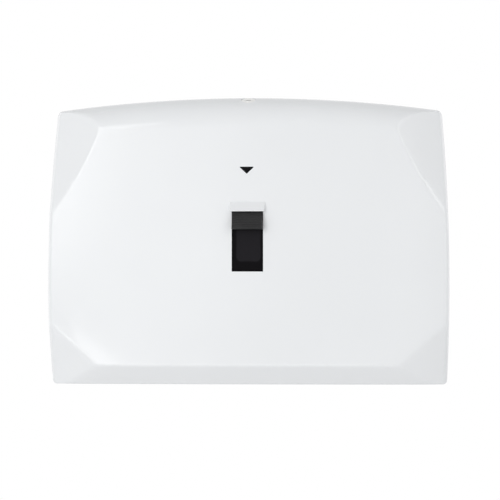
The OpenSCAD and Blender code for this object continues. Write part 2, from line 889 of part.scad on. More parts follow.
module slide_frame() {
    color("dimgray")
    difference() {
        union() {
            both_sides() {
                block([rail_in, rail_out], [frame_back, frame_front], [end_low - end_h, end_top + end_h]);
                for (z = frame_screw_z)
                    block([rail_out - sink, rail_out + frame_ear], [frame_back, frame_back + frame_ear_t],
                        [z - end_h / 2, z + end_h / 2]);
            }
            block([-rail_out, rail_out], [frame_back, frame_front], [end_top, end_top + end_h]);
            block([-rail_out, rail_out], [frame_back, frame_front], [end_low - end_h, end_low]);
        }
        both_sides() {
            upright_bar(rod_x, rod_fwd, rod_ends, rod_d / 2);
            for (z = frame_screw_z)
                forward_bar(frame_screw_x, z, [frame_back - over, frame_front], screw_d / 2 + screw_clear);
        }
    }
}

module frame_screws() {
    color("silver")
    both_sides()
        for (z = frame_screw_z)
            forward_screw(frame_screw_x, z, [frame_back, frame_boss_end - screw_spare]);
}

module guide_rods() {
    color("silver")
    both_sides()
        upright_bar(rod_x, rod_fwd, rod_ends, rod_d / 2);
}

module lock_housing() {
    color("silver")
    at_lock()
        difference() {
            union() {
                lock_disc(-rim_sink - rim_thick, -rim_sink, lock_rim_d / 2);
                lock_disc(-barrel_l, -rim_sink, barrel_d / 2);
            }
            lock_disc(-barrel_l - over, over, plug_d / 2 + run_gap);
        }
}

module lock_nut() {
    color("silver")
    at_lock()
        difference() {
            lock_disc(lock_boss_low - nut_t, lock_boss_low, nut_d / 2, 6);
            lock_disc(lock_boss_low - nut_t - over, over, barrel_d / 2);
        }
}

module lever_carriage() {
    color([0.1, 0.1, 0.11])
    difference() {
        union() {
            block([-block_w / 2, block_w / 2], [floor_back, apron_front], [block_low, block_top]);
            block([-block_w / 2, block_w / 2], [apron_back, apron_front], [apron_low, apron_top]);
            both_sides()
                block([block_w / 2 - sink, lug_out], [frame_back, frame_front], [block_low, block_top]);
        }
        block([-lever_w / 2 - lever_gap, lever_w / 2 + lever_gap], [floor_front, apron_front + over],
            [lever_low - lever_gap, lever_top + lever_gap]);
        forward_bar(0, lever_z, [floor_back - over, floor_front + over], stem_d / 2 + run_gap);
        both_sides() {
            upright_bar(rod_x, rod_fwd, [block_low - over, block_top + over], rod_d / 2 + rod_clear);
            upright_bar(rod_x, rod_fwd, [block_low - over, block_low + bush_l], bush_d / 2);
            upright_bar(rod_x, rod_fwd, [block_top - bush_l, block_top + over], bush_d / 2);
        }
    }
}

module carriage_bushes() {
    color("ivory")
    both_sides()
        for (z = [block_low, block_top - bush_l])
            difference() {
                upright_bar(rod_x, rod_fwd, [z, z + bush_l], bush_d / 2);
                upright_bar(rod_x, rod_fwd, [z - over, z + bush_l + over], rod_d / 2 + run_gap);
            }
}

module return_springs() {
    color("silver")
    both_sides()
        translate([rod_x, -rod_fwd, end_low + seat_gap])
            spring(return_spring_r, return_spring_l, return_coils, return_wire);
}

// Thumb piece: a wedge with a ribbed slope, on a round stem
module thumb_lever() {
    slope_low = [case_d + lever_out, lever_low + lever_lip];
    slope_high = [case_d + lever_top_out, lever_top];
    color([0.12, 0.12, 0.13]) {
        difference() {
            side_prism([-lever_w / 2, lever_w / 2], [
                [lever_back, lever_low],
                [case_d + lever_out - lever_lip, lever_low],
                slope_low,
                slope_high,
                [lever_back, lever_top]
            ]);
            for (i = [1 : lever_ribs]) {
                along = i / (lever_ribs + 1);
                half = rib_share / (lever_ribs + 1);
                side_prism([-lever_w / 2 - over, lever_w / 2 + over], [
                    slope_low + (slope_high - slope_low) * (along - half) + [skim, 0],
                    slope_low + (slope_high - slope_low) * along - [rib_depth, 0],
                    slope_low + (slope_high - slope_low) * (along + half) + [skim, 0]
                ]);
            }
            forward_bar(0, lever_z, [lever_back - over, spring_seat_front], spring_seat_d / 2);
        }
        difference() {
            forward_bar(0, lever_z, [pad_back + pad_t / 2, spring_seat_front], stem_d / 2);
            difference() {
                forward_bar(0, lever_z, [clip_front - clip_t, clip_front], stem_d);
                forward_bar(0, lever_z, [pad_back, case_d], stem_d / 2 - stem_groove);
            }
        }
    }
}

module grip_pad() {
    rib_pitch = pad_h / pad_ribs;
    color([0.2, 0.2, 0.2])
    difference() {
        block([-pad_w / 2, pad_w / 2], [pad_back, pad_front], [lever_z - pad_h / 2, lever_z + pad_h / 2]);
        for (i = [1 : pad_ribs - 1]) {
            rib_z = lever_z - pad_h / 2 + i * rib_pitch;
            side_prism([-pad_w / 2 - over, pad_w / 2 + over], [
                [pad_back - skim, rib_z - pad_groove - skim],
                [pad_back + pad_groove, rib_z],
                [pad_back - skim, rib_z + pad_groove + skim]
            ]);
        }
        forward_bar(0, lever_z, [pad_back + pad_t / 2, pad_front + over], stem_d / 2);
    }
}

module press_spring() {
    color("silver")
    translate([0, -(floor_front + seat_gap), lever_z])
        rotate([90, 0, 0])
            spring(press_spring_r, press_spring_l, press_coils, press_wire);
}

module stem_clip() {
    color("dimgray")
    ring_clip(0, lever_z, [clip_front - clip_t, clip_front], stem_d / 2 - stem_groove, stem_d / 2 + clip_out);
}

module lock_plug() {
    color("gainsboro")
    at_lock()
        difference() {
            union() {
                lock_disc(cam_top, plug_proud - rim_sink, plug_d / 2);
                lock_disc(cam_bottom, cam_top, stub_d / 2);
            }
            translate([-key_l / 2, -key_w / 2, -rim_sink - key_deep]) cube([key_l, key_w, key_deep + over]);
            lock_disc(cam_bottom - over, cam_top + cam_screw_l + screw_spare, screw_d / 2);
        }
}

module lock_cam() {
    color("silver")
    at_lock()
        difference() {
            union() {
                lock_disc(cam_bottom, cam_top, cam_w / 2);
                translate([-cam_w / 2, 0, cam_bottom]) cube([cam_w, cam_l, cam_t]);
            }
            lock_disc(cam_bottom - over, cam_top + over, stub_d / 2);
        }
}

module cam_screw() {
    color("silver")
    at_lock()
        difference() {
            union() {
                lock_disc(cam_bottom - cam_head_t, cam_bottom, cam_head_d / 2);
                lock_disc(cam_bottom, cam_top + cam_screw_l, screw_d / 2);
            }
            translate([-over, -cross_w / 2, cam_bottom - cam_head_t - over])
                cube([2 * over, cross_w, over + cross_deep]);
        }
}

back_tray();
hinge_pins();
guide_posts();
post_clips();
lock_strike();
strike_screws();
pressure_plate();
plate_bushes();
plate_springs();
front_cover();
slide_frame();
frame_screws();
guide_rods();
lock_housing();
lock_nut();
lever_carriage();
carriage_bushes();
return_springs();
thumb_lever();
grip_pad();
press_spring();
stem_clip();
lock_plug();
lock_cam();
cam_screw();
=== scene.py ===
import json
import math

import bmesh
import bpy
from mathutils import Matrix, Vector


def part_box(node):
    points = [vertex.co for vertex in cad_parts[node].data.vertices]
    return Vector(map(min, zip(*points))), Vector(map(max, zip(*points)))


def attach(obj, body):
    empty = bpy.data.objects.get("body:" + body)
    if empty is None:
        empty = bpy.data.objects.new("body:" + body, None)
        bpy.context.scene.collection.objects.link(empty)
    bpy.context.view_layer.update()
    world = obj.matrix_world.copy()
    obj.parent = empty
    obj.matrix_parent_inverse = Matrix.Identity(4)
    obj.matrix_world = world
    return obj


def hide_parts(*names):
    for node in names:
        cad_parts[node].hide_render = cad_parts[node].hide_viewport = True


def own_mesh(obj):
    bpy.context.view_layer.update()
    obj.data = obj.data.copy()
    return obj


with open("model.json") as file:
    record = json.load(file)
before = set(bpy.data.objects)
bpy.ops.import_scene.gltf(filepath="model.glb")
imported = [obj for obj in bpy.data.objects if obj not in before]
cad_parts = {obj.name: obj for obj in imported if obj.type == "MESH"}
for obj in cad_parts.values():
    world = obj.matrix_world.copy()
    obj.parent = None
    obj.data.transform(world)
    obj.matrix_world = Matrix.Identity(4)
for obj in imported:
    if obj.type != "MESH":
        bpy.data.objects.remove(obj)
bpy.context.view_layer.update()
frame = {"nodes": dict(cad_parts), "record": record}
nodes = frame["nodes"]


# Back tray. It hangs on four screws and carries the shelf, the hinge lugs and the guide posts.
# It is moulded in white ABS from a spark-eroded tool, which leaves a fine matt grain.
def sockets(finish):
    """The sockets of a finish's shader, by name."""
    return finish.node_tree.nodes["Principled BSDF"].inputs


def start_finish(name, colour, roughness, metallic=0.0):
    """A new material with its plain values, which patterns can vary."""
    finish = bpy.data.materials.new(name)
    finish.use_nodes = True
    sockets(finish)["Base Color"].default_value = (*colour, 1)
    sockets(finish)["Roughness"].default_value = roughness
    sockets(finish)["Metallic"].default_value = metallic
    return finish


def texture(finish, kind, scale):
    """A texture of that kind, fixed to the piece."""
    tree = finish.node_tree
    place = tree.nodes.new("ShaderNodeTexCoord")
    pattern = tree.nodes.new(kind)
    pattern.inputs["Scale"].default_value = scale
    tree.links.new(place.outputs["Object"], pattern.inputs["Vector"])
    return pattern


def grain(finish, size, detail=2):
    """Noise of about that grain size in metres."""
    noise = texture(finish, "ShaderNodeTexNoise", 1 / size)
    noise.inputs["Detail"].default_value = detail
    return noise.outputs["Fac"]


def vary_colour(finish, pattern, dark, light):
    """Lets the colour wander between two shades along a pattern."""
    tree = finish.node_tree
    shades = tree.nodes.new("ShaderNodeValToRGB")
    stops = shades.color_ramp.elements
    dark_until, light_from = 0.3, 0.7
    stops[0].position, stops[1].position = dark_until, light_from
    stops[0].color, stops[1].color = (*dark, 1), (*light, 1)
    tree.links.new(pattern, shades.inputs["Fac"])
    tree.links.new(shades.outputs["Color"], sockets(finish)["Base Color"])


def vary_roughness(finish, pattern, low, high):
    """Lets the roughness wander between two values along a pattern."""
    tree = finish.node_tree
    spread = tree.nodes.new("ShaderNodeMapRange")
    spread.inputs["To Min"].default_value = low
    spread.inputs["To Max"].default_value = high
    tree.links.new(pattern, spread.inputs["Value"])
    tree.links.new(spread.outputs["Result"], sockets(finish)["Roughness"])


def emboss(finish, pattern, depth):
    """Raises the surface by a depth in metres along a pattern."""
    tree = finish.node_tree
    relief = tree.nodes.new("ShaderNodeBump")
    relief.inputs["Strength"].default_value = 1.0
    relief.inputs["Distance"].default_value = depth
    tree.links.new(pattern, relief.inputs["Height"])
    tree.links.new(relief.outputs["Normal"], sockets(finish)["Normal"])


def dress(finish, *names, edge):
    """Gives CAD nodes a finish and breaks their edges by that width; at a width of 0 they stay sharp."""
    same_point = 1e-6
    flat_within, sharp_from = math.radians(0.2), math.radians(35)
    for name in names:
        piece = nodes[name]
        piece.data.materials.clear()
        piece.data.materials.append(finish)
        if edge == 0:
            continue
        joined = piece.modifiers.new("joined_points", "WELD")
        joined.merge_threshold = same_point
        flat = piece.modifiers.new("flat_faces", "DECIMATE")
        flat.decimate_type = "DISSOLVE"
        flat.angle_limit = flat_within
        broken = piece.modifiers.new("broken_edges", "BEVEL")
        broken.width = edge
        broken.segments = 2
        broken.limit_method = "ANGLE"
        broken.angle_limit = sharp_from
        broken.loop_slide = False
        broken.use_clamp_overlap = False
        broken.harden_normals = True


tray_white, tray_shade = (0.80, 0.81, 0.82), (0.76, 0.77, 0.785)
tray_plastic = start_finish("tray_white", tray_white, roughness=0.5)
vary_colour(tray_plastic, grain(tray_plastic, size=0.09, detail=3), tray_shade, tray_white)
vary_roughness(tray_plastic, grain(tray_plastic, size=0.02, detail=4), low=0.44, high=0.56)
emboss(tray_plastic, grain(tray_plastic, size=0.0006), depth=0.00004)
dress(tray_plastic, "back_tray", edge=0.0001)


# Hinge pins and guide posts. They are cut from ground steel rod, zinc plated, and pressed into
# the tray's lugs and bosses.
ground_steel = start_finish("steel", (0.62, 0.63, 0.64), roughness=0.3, metallic=1.0)
vary_colour(ground_steel, grain(ground_steel, size=0.004, detail=3),
            dark=(0.55, 0.56, 0.575), light=(0.66, 0.67, 0.675))
vary_roughness(ground_steel, grain(ground_steel, size=0.0005, detail=3), low=0.22, high=0.4)
dress(ground_steel, "hinge_pins", "guide_posts", edge=0.0002)


# Strike bracket. It is bent from galvanised sheet, whose sheared edges stay sharp, and two pan-head
# screws hold it to the tray. The lock's cam turns behind its tab.
zinc_sheet = start_finish("zinc_sheet", (0.66, 0.67, 0.68), roughness=0.38, metallic=1.0)
spangle = texture(zinc_sheet, "ShaderNodeTexVoronoi", scale=170).outputs["Color"]
vary_colour(zinc_sheet, spangle, dark=(0.62, 0.63, 0.64), light=(0.69, 0.7, 0.705))
vary_roughness(zinc_sheet, spangle, low=0.34, high=0.44)
emboss(zinc_sheet, grain(zinc_sheet, size=0.0012, detail=3), depth=0.00001)
dress(zinc_sheet, "lock_strike", edge=0)
dress(ground_steel, "strike_screws", edge=0.0002)


# Pressure plate. It is folded from the same galvanised sheet and pushes the pack forward.
# Four natural acetal bushes, snapped into its ears, run on the guide posts.
dress(zinc_sheet, "pressure_plate", edge=0.0002)
acetal = start_finish("acetal", (0.82, 0.79, 0.70), roughness=0.35)
vary_colour(acetal, grain(acetal, size=0.006), dark=(0.78, 0.75, 0.655), light=(0.84, 0.81, 0.725))
vary_roughness(acetal, grain(acetal, size=0.002), low=0.3, high=0.42)
sockets(acetal)["Subsurface Weight"].default_value = 0.1
sockets(acetal)["Subsurface Radius"].default_value = (0.002, 0.002, 0.0015)
dress(acetal, "plate_bushes", edge=0.0003)


# Plate springs. Four compression springs on the guide posts, wound from hard drawn wire, push the
# plate forward. On the real case they close up as the plate goes back behind a full pack; here they are
# wound at one length and move with the plate.
drawn_wire = start_finish("spring_steel", (0.5, 0.5, 0.5), roughness=0.32, metallic=1.0)
vary_colour(drawn_wire, grain(drawn_wire, size=0.003, detail=3),
            dark=(0.4, 0.4, 0.405), light=(0.56, 0.56, 0.56))
vary_roughness(drawn_wire, grain(drawn_wire, size=0.0008), low=0.25, high=0.42)


def make_piece(name, points, faces, finish):
    """A new piece from points and faces, smooth but for its sharp edges."""
    sharp_from = math.radians(38)
    mesh = bpy.data.meshes.new(name)
    mesh.from_pydata([tuple(p) for p in points], [], faces)
    mesh.materials.append(finish)
    even = bmesh.new()
    even.from_mesh(mesh)
    bmesh.ops.recalc_face_normals(even, faces=even.faces)
    for face in even.faces:
        face.smooth = True
    even.to_mesh(mesh)
    even.free()
    mesh.set_sharp_from_angle(angle=sharp_from)
    piece = bpy.data.objects.new(name, mesh)
    bpy.context.scene.collection.objects.link(piece)
    return piece


def wind_springs(name, seats, along, across, radius, length, turns, wire):
    """Equal coils of round wire, each from its seat along one axis; the wire starts across it."""
    rings_per_turn, sides = 28, 10
    steps = round(turns * rings_per_turn)
    third = along.cross(across)
    rise = (length - wire) / steps
    points, faces = [], []
    for seat in seats:
        first = len(points)
        for i in range(steps + 1):
            angle = 2 * math.pi * i / rings_per_turn
            out = across * math.cos(angle) + third * math.sin(angle)
            run = third * math.cos(angle) - across * math.sin(angle)
            tangent = run * radius + along * (rise * rings_per_turn / (2 * math.pi))
            up = tangent.normalized().cross(out)
            centre = seat + out * radius + along * (wire / 2 + rise * i)
            for k in range(sides):
                turn = 2 * math.pi * k / sides
                points.append(centre + (out * math.cos(turn) + up * math.sin(turn)) * (wire / 2))
        for i in range(steps):
            for k in range(sides):
                a = first + i * sides + k
                b = first + i * sides + (k + 1) % sides
                faces.append((a, b, b + sides, a + sides))
        faces.append(tuple(range(first, first + sides)))
        faces.append(tuple(range(len(points) - sides, len(points))))
    return make_piece(name, points, faces, drawn_wire)


joints = {joint["name"]: joint for joint in frame["record"]["behaviour"]["joints"]}
side_axis, back_axis, up_axis = Vector((1, 0, 0)), Vector((0, 1, 0)), Vector((0, 0, 1))
plate_coil, plate_wire = 0.0052, 0.0011
plate_spring_back, plate_spring_front = -0.0043, -0.0392
plate_spring_length = plate_spring_back - plate_spring_front
plate_springs_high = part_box("plate_springs")[1]
post_x = plate_springs_high.x - plate_coil - plate_wire / 2
post_z = plate_springs_high.z - plate_coil - plate_wire / 2
post_seats = [Vector((x, plate_spring_back, z)) for x in (-post_x, post_x) for z in (-post_z, post_z)]
plate_coils = wind_springs("plate_coils", post_seats, -back_axis, side_axis,
                           radius=plate_coil, length=plate_spring_length, turns=5.5, wire=plate_wire)
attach(plate_coils, "plate")
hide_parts("plate_springs")
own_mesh(plate_coils)


# Post clips. They are stamped from spring strip and snapped into the posts' grooves, so that the
# plate stays on.
dress(drawn_wire, "post_clips", edge=0.0001)


# Front cover. It is moulded in gloss white ABS and swings forward and down on the hinge pins.
# The stop ribs, the screw and lock bosses and the hood over the lever are moulded in one with it.
cover_low, cover_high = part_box("front_cover")
half_width, bottom_z, top_z = cover_high.x, cover_low.z, cover_high.z
cover_wall, hood_out = 0.0025, 0.006
back_depth, face_depth = -cover_high.y, -cover_low.y - hood_out
side_bow, top_bow, face_bow = 2.0, 1.455, 3.0
widest_above_bottom = 0.0987
widest_z = bottom_z + widest_above_bottom
bow_from_x, bow_from_z, bow_rounds = 0.1, 0.06, 3
top_round, side_round, lip_round = 0.028, 0.004, 0.0008
top_corner, low_corner = 0.0055, 0.004
side_edge, top_edge = half_width - side_round, top_z - top_round
bevel_height, bevel_depth = 0.0187, 0.0159
crease_z, bevel_slope = bottom_z + bevel_height, bevel_depth / bevel_height

# The upper corner facets are dished, with an arc as their edge. The lower ones are cut flat.
dish_edge_x, dish_below_top, dish_radius = 0.1611, 0.0606, 0.325
dish_slope, dish_turn = math.tan(math.radians(26)), math.radians(24)
dish_x = dish_edge_x + dish_radius * math.cos(dish_turn)
dish_z = top_z - dish_below_top + dish_radius * math.sin(dish_turn)
cut_x, cut_slope, cut_turn = 0.1515, math.tan(math.radians(25.8)), math.radians(-43.4)
edge_soft, dish_soft = 0.0012, 0.0004
side_swell, side_fall = 0.032, math.tan(math.radians(7))
cut_swell, cut_fall = 0.02, math.tan(math.radians(4))

slot_half, slot_low, slot_top = 0.0157, -0.0305, 0.0295
hinge = Vector(joints["cover_hinge"]["pos_m"])
heel = 0.009
lock_turn = math.radians(68)
lock_recess, lock_bore, lock_ledge = 0.00735, 0.00605, 0.0021


def arc_drop(radius, offset):
    """How far an arc falls away at a distance from its middle."""
    return radius - math.sqrt(radius**2 - offset**2)


def soft_min(a, b, reach):
    """The lesser of two depths, with the edge between them rounded over that reach."""
    near = max(reach - abs(a - b), 0) / reach
    return min(a, b) - near**2 * reach / 4


def ease(x, low, high):
    """0 below low, 1 above high and smooth between them."""
    t = min(max((x - low) / (high - low), 0), 1)
    return t * t * (3 - 2 * t)


def swell(gap, reach, fall):
    """How far the face falls as it nears an edge, from nothing at that reach."""
    return max(reach - max(gap, 0), 0)**2 / (2 * reach) * fall


def facet_at(edge_x, into, slope, inset):
    """Forward distance of a corner facet at a distance into it from its edge."""
    return face_depth - arc_drop(face_bow, edge_x) - slope * into - inset * math.hypot(1, slope)


def face_at(x, z, inset):
    """Forward distance of the bowed face, its bevelled lip, top rounding and corner facets."""
    bowed = face_depth - arc_drop(face_bow, x)
    lip = bowed - bevel_slope * (crease_z - z) - inset * math.hypot(1, bevel_slope)
    depth = soft_min(bowed - inset, lip, edge_soft)
    round_in = top_round - inset
    rise = max(z - (top_z - arc_drop(top_bow, x) - top_round), 0)
    depth -= round_in - math.sqrt(max(round_in**2 - rise**2, 0))
    into_dish = dish_radius - math.hypot(abs(x) - dish_x, z - dish_z)
    into_cut = math.cos(cut_turn) * (abs(x) - cut_x) + math.sin(cut_turn) * (z - crease_z)
    dish = facet_at(dish_edge_x, into_dish, dish_slope, inset)
    cut = facet_at(cut_x, into_cut, cut_slope, inset)
    depth -= swell((cut - depth) / cut_slope, cut_swell, cut_fall)
    cut -= swell(0, cut_swell, cut_fall)
    front = soft_min(soft_min(depth, dish, dish_soft), cut, edge_soft)
    from_side = half_width - arc_drop(side_bow, z - widest_z) - abs(x)
    return front - swell(from_side, side_swell, side_fall)


def round_corner(x, z, corner_x, corner_z, radius):
    """Moves a point of a square corner onto a corner of that radius."""
    towards = math.copysign(1, corner_z)
    u = (abs(x) - corner_x + radius) / radius
    v = (z * towards - abs(corner_z) + radius) / radius
    if u <= 0 or v <= 0:
        return x, z
    new_x = corner_x - radius + radius * u * math.sqrt(1 - v * v / 2)
    new_z = abs(corner_z) - radius + radius * v * math.sqrt(1 - u * u / 2)
    return math.copysign(new_x, x), new_z * towards


def skin_point(column, row, inset):
    """A point of the outer skin, or of the inner one at an inset."""
    x, side_turn = column
    z, lip_turn, top_turn = row
    x += math.copysign((side_round - inset) * math.sin(side_turn), x)
    z += (top_round - inset) * math.sin(top_turn)
    x, z = round_corner(x, z, half_width - inset, top_z - inset, top_corner - inset)
    x, z = round_corner(x, z, half_width - inset, bottom_z, low_corner - inset)
    flat_x, flat_z = x, z
    for _ in range(bow_rounds):
        bow_x = arc_drop(side_bow, z - widest_z) * ease(abs(flat_x), bow_from_x, half_width - inset)
        bow_z = arc_drop(top_bow, x) * ease(flat_z, bow_from_z, top_z - inset)
        x, z = flat_x - math.copysign(bow_x, flat_x), flat_z - bow_z
    depth = face_at(x, z, inset) - (side_round - inset) * (1 - math.cos(side_turn))
    if inset == 0:
        depth -= lip_round * (1 - math.cos(lip_turn))
    return x, depth, z


def even_steps(low, high, step):
    """Equal steps of about that size, without the last point."""
    count = max(1, round((high - low) / step))
    return [low + (high - low) * i / count for i in range(count)]


# The skins are grids. Their columns and rows are closer where the facets and the lock are.
lock_patch, facets_from_x, facets_below_z, facets_above_z = 0.012, 0.14, -0.07, 0.06
wide_step, fine_step, lip_step, slot_step = 0.006, 0.0016, 0.0014, 0.002
side_steps, top_steps = 8, 18
right_half = (even_steps(0, lock_patch, slot_step) + even_steps(lock_patch, slot_half, slot_step)
              + even_steps(slot_half, facets_from_x, wide_step)
              + even_steps(facets_from_x, side_edge, fine_step) + [side_edge])
side_turns = [math.radians(90 * i / side_steps) for i in range(1, side_steps + 1)]
right_columns = [(x, 0) for x in right_half] + [(side_edge, turn) for turn in side_turns]
columns = [(-x, turn) for x, turn in reversed(right_columns[1:])] + right_columns
lip_turns = [math.radians(degrees) for degrees in (90, 60, 30)]
lip_rows = [(bottom_z + lip_round * (1 - math.sin(turn)), turn, 0) for turn in lip_turns]
heights = (even_steps(bottom_z + lip_round, facets_below_z, lip_step)
           + even_steps(facets_below_z, slot_low, wide_step)
           + even_steps(slot_low, slot_top, wide_step)
           + even_steps(slot_top, facets_above_z, wide_step)
           + even_steps(facets_above_z, top_edge, fine_step))
top_rows = [(top_edge, 0, math.radians(90 * i / top_steps)) for i in range(top_steps + 1)]
rows = lip_rows + [(z, 0, 0) for z in heights] + top_rows
cover_points, cover_faces = [], []


def put(x, depth, z):
    """Adds a point to the cover and gives its number."""
    cover_points.append((x, -depth, z))
    return len(cover_points) - 1


def join_lines(first, second, closed=False):
    """Faces between two equal lines of points."""
    for i in range(len(first) - (0 if closed else 1)):
        k = (i + 1) % len(first)
        cover_faces.append((first[i], first[k], second[k], second[i]))


def nearest(values, wanted):
    """Which of the values lies nearest to the wanted one."""
    return min(range(len(values)), key=lambda i: abs(values[i] - wanted))


def edge_of(skin, hole):
    """The points round a hole in a skin, anticlockwise from its lower left."""
    low, high, left, right = hole
    line = [skin[low][c] for c in range(left, right)]
    line += [skin[r][right] for r in range(low, high)]
    line += [skin[high][c] for c in range(right, left, -1)]
    line += [skin[r][left] for r in range(high, low, -1)]
    return line


# The rows on the top's rounding have one height, so their turn is added to tell them apart.
column_x = [x for x, turn in columns]
row_z = [z + top_turn for z, lip_turn, top_turn in rows]
lock_patch_low, lock_patch_high = top_edge + math.radians(45), top_edge + math.radians(85)
slot_hole = (nearest(row_z, slot_low), nearest(row_z, slot_top),
             nearest(column_x, -slot_half), nearest(column_x, slot_half))
lock_hole = (nearest(row_z, lock_patch_low), nearest(row_z, lock_patch_high),
             nearest(column_x, -lock_patch), nearest(column_x, lock_patch))
skins = []
for inset in (0, cover_wall):
    skin = [[put(*skin_point(column, row, inset)) for column in columns] for row in rows]
    for r in range(len(rows) - 1):
        for c in range(len(columns) - 1):
            if not any(low <= r < high and left <= c < right
                       for low, high, left, right in (slot_hole, lock_hole)):
                cover_faces.append((skin[r][c], skin[r][c + 1], skin[r + 1][c + 1], skin[r + 1][c]))
    skins.append(skin)
outer, inner = skins
join_lines(outer[0], inner[0])
join_lines(edge_of(outer, slot_hole), edge_of(inner, slot_hole), closed=True)


def lock_point(across, along, below):
    """A point by the lock: across, along the top's rounding, and below the lock's face."""
    out = top_round - below
    depth = face_depth - top_round + out * math.cos(lock_turn) - along * math.sin(lock_turn)
    z = top_edge + out * math.sin(lock_turn) + along * math.cos(lock_turn)
    return put(across, depth, z)


def lock_offset(number):
    """How far a point of the cover lies from the lock's axis: across, and along the top's rounding."""
    x, y, z = cover_points[number]
    forward = -y - face_depth + top_round
    return x, (z - top_edge) * math.cos(lock_turn) - forward * math.sin(lock_turn)


# The lock's hole is a wide recess outside and a bore inside, with a ledge between them.
lock_rings = []
for skin, inset, radius in ((outer, 0, lock_recess), (inner, cover_wall, lock_bore)):
    edge = edge_of(skin, lock_hole)
    ring = []
    for number in edge:
        across, along = lock_offset(number)
        angle = math.atan2(along, across)
        u, v = radius * math.cos(angle), radius * math.sin(angle)
        ring.append(lock_point(u, v, top_round - math.sqrt((top_round - inset)**2 - v**2)))
    join_lines(edge, ring, closed=True)
    lock_rings.append(ring)
recess_ring, bore_ring = lock_rings
shrink = lock_bore / lock_recess
ledge_offsets = [lock_offset(number) for number in recess_ring]
ledge_outer = [lock_point(across, along, lock_ledge) for across, along in ledge_offsets]
ledge_inner = [lock_point(across * shrink, along * shrink, lock_ledge)
               for across, along in ledge_offsets]
join_lines(recess_ring, ledge_outer, closed=True)
join_lines(ledge_outer, ledge_inner, closed=True)
join_lines(ledge_inner, bore_ring, closed=True)


def back_edge(z):
    """How near the wall the cover's sides reach; the heel is cut round below the hinge."""
    if abs(z - hinge.z) >= heel or z > hinge.z:
        return back_depth
    return max(back_depth, -hinge.y - math.sqrt(heel**2 - (z - hinge.z)**2))


def wall_lines(skin):
    """Lines of points back along the sides and the top, from the skin's edge to the back edge."""
    edge = [line[0] for line in skin] + skin[-1][1:] + [line[-1] for line in reversed(skin[:-1])]
    lines = [edge]
    for share in (0.08, 0.25, 0.5, 0.75, 1):
        line = []
        for number in edge:
            x, y, z = cover_points[number]
            line.append(put(x, -y + (back_edge(z) + y) * share, z))
        join_lines(lines[-1], line)
        lines.append(line)
    return lines


outer_walls, inner_walls = wall_lines(outer), wall_lines(inner)
join_lines(outer_walls[-1], inner_walls[-1])
for end in (0, -1):
    join_lines([line[end] for line in outer_walls], [line[end] for line in inner_walls])


def add_bar(x, depth, z):
    """A block moulded inside the cover, between pairs of limits."""
    corners = [[put(x[i], d, z[k]) for i, k in ((0, 0), (1, 0), (1, 1), (0, 1))] for d in depth]
    join_lines(corners[0], corners[1], closed=True)
    cover_faces.extend(tuple(corner) for corner in corners)


def add_tube(middle, along, across, radius, bore, start, end):
    """A hollow boss moulded inside the cover, along an axis through its middle."""
    sides = 40
    third = along.cross(across)
    lines = []
    for reach, distance in ((radius, start), (radius, end), (bore, end), (bore, start)):
        line = []
        for i in range(sides):
            angle = 2 * math.pi * i / sides
            out = across * math.cos(angle) + third * math.sin(angle)
            point = middle + along * distance + out * reach
            line.append(put(point.x, -point.y, point.z))
        lines.append(line)
    for i in range(len(lines)):
        join_lines(lines[i], lines[(i + 1) % len(lines)], closed=True)


rib_half, rib_back, rib_ends = 0.001, 0.049, (-0.112, 0.0998)
screw_x = 0.0375
for side in (-1, 1):
    for rib_x in (0.06, 0.12):
        rib_front = face_depth - arc_drop(face_bow, rib_x) - cover_wall / 2
        add_bar((side * rib_x - rib_half, side * rib_x + rib_half), (rib_back, rib_front), rib_ends)
    for screw_z in (-0.0569, 0.0375):
        add_tube(Vector((side * screw_x, 0, screw_z)), -back_axis, side_axis,
                 radius=0.004, bore=0.00155, start=0.061, end=0.0728)
    add_tube(hinge, side_axis * side, back_axis,
             radius=0.006, bore=0.00205, start=0.18468, end=0.198)
lock_axis = Vector((0, -math.cos(lock_turn), math.sin(lock_turn)))
lock_middle = Vector((0, top_round - face_depth, top_edge)) + lock_axis * top_round
add_tube(lock_middle, lock_axis, side_axis, radius=0.010, bore=lock_bore, start=-0.007, end=-0.0024)

cover_white, cover_shade = (0.83, 0.845, 0.86), (0.815, 0.83, 0.845)
gloss_plastic = start_finish("cover_white", cover_white, roughness=0.15)
vary_colour(gloss_plastic, grain(gloss_plastic, size=0.12), cover_shade, cover_white)
vary_roughness(gloss_plastic, grain(gloss_plastic, size=0.03, detail=4), low=0.13, high=0.17)
emboss(gloss_plastic, grain(gloss_plastic, size=0.05, detail=1), depth=0.00005)
front_shell = make_piece("front_shell", cover_points, cover_faces, gloss_plastic)

# The hood is a wedge with leaning sides and rounded edges.
hood_margin, hood_height, hood_lip, hood_edge = 0.0024, 0.0096, 0.001, 0.00045
hood_lean = math.radians(13)
hood_root = slot_half + hood_margin
hood_tip = hood_root - hood_out * math.tan(hood_lean)
hood_back, hood_top = face_depth - cover_wall / 2, slot_top + hood_height
hood_profile = [
    (hood_back, slot_top),
    (face_depth + hood_out, slot_top),
    (face_depth + hood_out, slot_top + hood_lip),
    (face_depth, hood_top),
    (hood_back, hood_top),
]
moulding = bmesh.new()
moulding.from_mesh(front_shell.data)
hood_ends = []
for side in (-1, 1):
    hood_end = []
    for depth, z in hood_profile:
        out = max(depth - face_depth, 0) / hood_out
        x = side * (hood_root + (hood_tip - hood_root) * out)
        hood_end.append(moulding.verts.new((x, -depth, z)))
    hood_ends.append(hood_end)
left_end, right_end = hood_ends
hood_faces = [moulding.faces.new(left_end), moulding.faces.new(reversed(right_end))]
for i in range(len(hood_profile)):
    k = (i + 1) % len(hood_profile)
    hood_faces.append(moulding.faces.new((left_end[k], left_end[i], right_end[i], right_end[k])))
bmesh.ops.recalc_face_normals(moulding, faces=hood_faces)
bmesh.ops.bevel(moulding, geom=list({edge for face in hood_faces for edge in face.edges}),
                offset=hood_edge, segments=3, profile=0.5, affect="EDGES")
for face in moulding.faces:
    face.smooth = True
